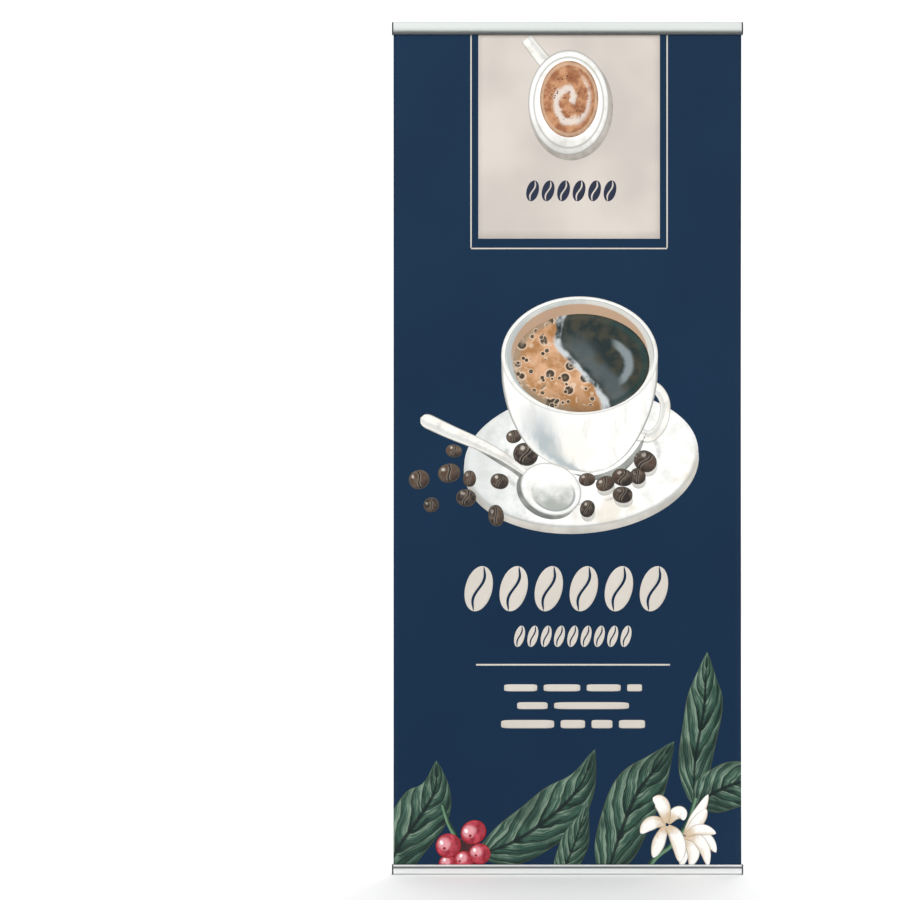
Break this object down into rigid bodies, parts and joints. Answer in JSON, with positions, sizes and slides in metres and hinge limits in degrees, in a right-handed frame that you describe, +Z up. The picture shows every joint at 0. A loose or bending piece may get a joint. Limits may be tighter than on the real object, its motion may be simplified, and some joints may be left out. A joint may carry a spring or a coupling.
{
  "type": "pole-supported banner stand",
  "caption": "Tall free-standing printed banner clamped between two slim aluminium rails, propped from behind by a bowed tubular pole on a swivelling foot arm.",
  "frame": {"origin": "middle of the bottom rail's flat underside, in the film's plane, on the floor", "axes": "+Z up along the film's height, +X along the rails, +Y backwards from the printed face to the foot; the print faces -Y"},
  "size_m": [0.807, 0.3561, 1.96],
  "materials": {
    "anodised_aluminium": "satin",
    "silver_tube": "satin",
    "foot_moulding": "satin",
    "black_plastic": "matte",
    "rubber": "matte",
    "steel": "satin",
    "post_steel": "satin",
    "elastic_cord": "matte",
    "printed_film": "satin"
  },
  "bodies": {
    "base": {"bottom_rail_back": "anodised_aluminium", "bottom_rail_cap_left": "black_plastic", "bottom_rail_cap_right": "black_plastic", "top_rail_back": "anodised_aluminium", "top_rail_cap_left": "black_plastic", "top_rail_cap_right": "black_plastic", "banner_film": "printed_film", "foot_bracket": "anodised_aluminium", "foot_bracket_screw_1": "steel", "foot_bracket_screw_2": "steel", "foot_bracket_screw_3": "steel", "foot_bracket_screw_4": "steel", "pivot_bolt": "steel", "pivot_washer": "steel", "pivot_nut": "steel", "friction_washer_lower": "black_plastic", "friction_washer_upper": "black_plastic", "pole_fork": "anodised_aluminium", "pole_fork_screw_1": "steel", "pole_fork_screw_2": "steel"},
    "top_jaw": {"top_rail_jaw": "anodised_aluminium", "top_jaw_grip": "rubber"},
    "bottom_jaw": {"bottom_rail_jaw": "anodised_aluminium", "bottom_jaw_grip": "rubber"},
    "foot": {"foot_arm": "foot_moulding", "foot_pivot_bush": "black_plastic", "foot_post": "post_steel", "foot_post_screw": "steel", "foot_end_pad": "rubber"},
    "pole": {"pole_lower_tube": "silver_tube", "pole_middle_tube": "silver_tube", "pole_upper_tube": "silver_tube", "pole_lower_ferrule": "silver_tube", "pole_middle_ferrule": "silver_tube", "pole_cord_anchor": "black_plastic", "pole_shock_cord": "elastic_cord", "pole_tip": "black_plastic"}
  },
  "joints": [
    {"name": "foot_swivel", "type": "hinge", "parent": "base", "child": "foot", "pos_m": [0, 0.0265, 0.0146], "axis": [0, 0, 1], "range_deg": [0, 90]},
    {"name": "pole_swivel", "type": "hinge", "parent": "foot", "child": "pole", "pos_m": [0, 0.3255, 0.1495], "axis": [0, 0, 1], "range_deg": [0, 150]},
    {"name": "top_jaw_hinge", "type": "hinge", "parent": "base", "child": "top_jaw", "pos_m": [0, 0.0012, 1.9563], "axis": [-1, 0, 0], "range_deg": [0, 60]},
    {"name": "bottom_jaw_hinge", "type": "hinge", "parent": "base", "child": "bottom_jaw", "pos_m": [0, -0.001, 0.0054], "axis": [1, 0, 0], "range_deg": [0, 35]}
  ]
}
